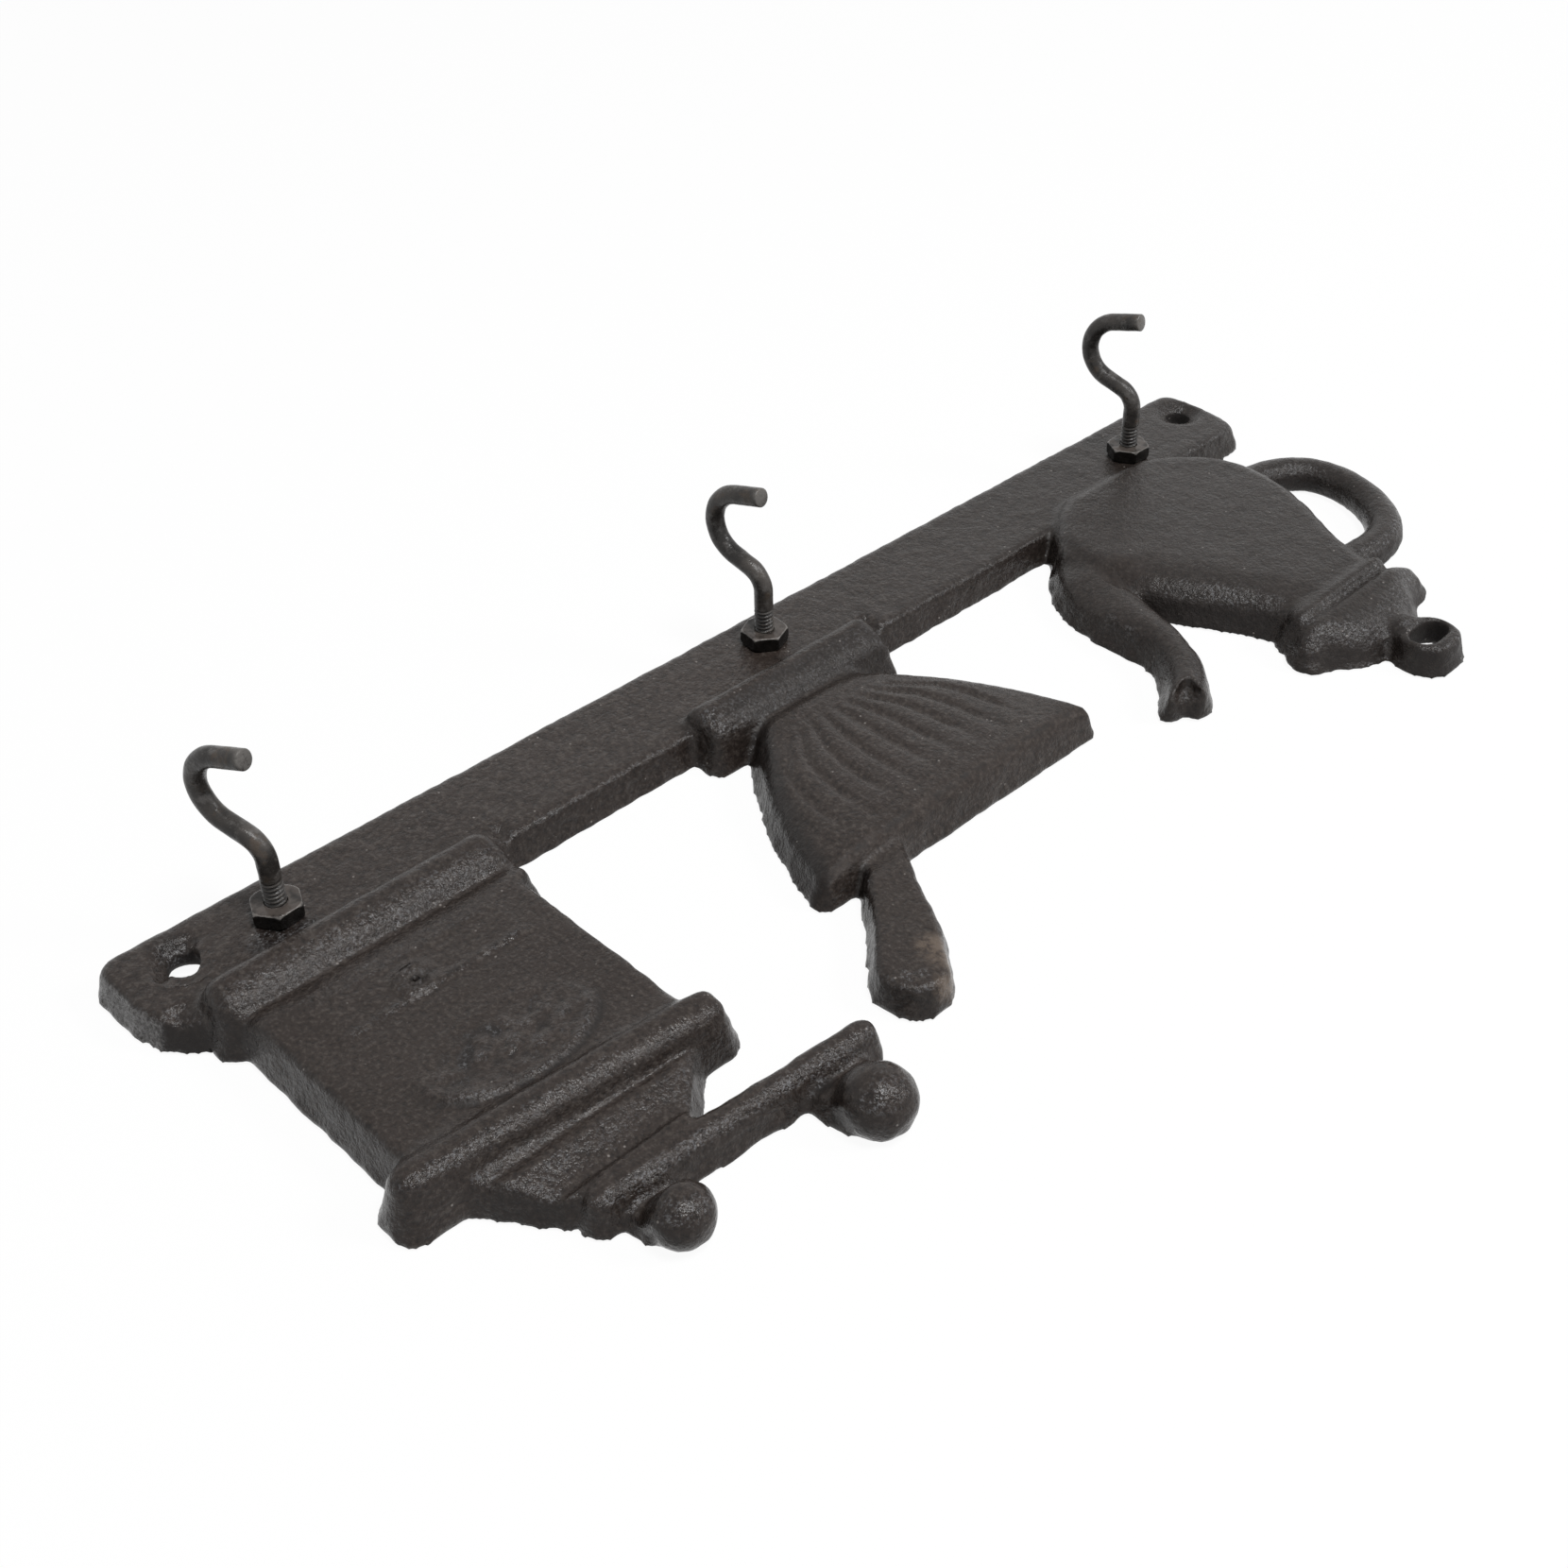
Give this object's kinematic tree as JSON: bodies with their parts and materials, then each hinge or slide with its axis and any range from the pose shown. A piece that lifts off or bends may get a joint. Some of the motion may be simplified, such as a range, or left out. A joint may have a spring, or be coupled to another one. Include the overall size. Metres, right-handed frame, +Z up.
{
  "type": "wall hook rail",
  "caption": "Cast iron wall rail with kitchen silhouettes standing on a drilled bar, and threaded wire hooks held by lock nuts for hanging cups, cloths or coats.",
  "frame": {"origin": "on the flat back, midway between the two wall screw holes", "axes": "+X along the rail towards the coffee grinder, +Y into the wall, +Z up the wall; the hooks stick out towards -Y"},
  "size_m": [0.2695, 0.0381, 0.1123],
  "materials": {
    "black_iron": "satin black paint over a rough sand casting",
    "hook_wire": "satin black, worn on the tip",
    "lock_nut": "gloss black"
  },
  "bodies": {
    "root": {"casting": "black_iron", "hook_right": "hook_wire", "hook_middle": "hook_wire", "hook_left": "hook_wire", "nut_right": "lock_nut", "nut_middle": "lock_nut", "nut_left": "lock_nut"}
  },
  "joints": []
}
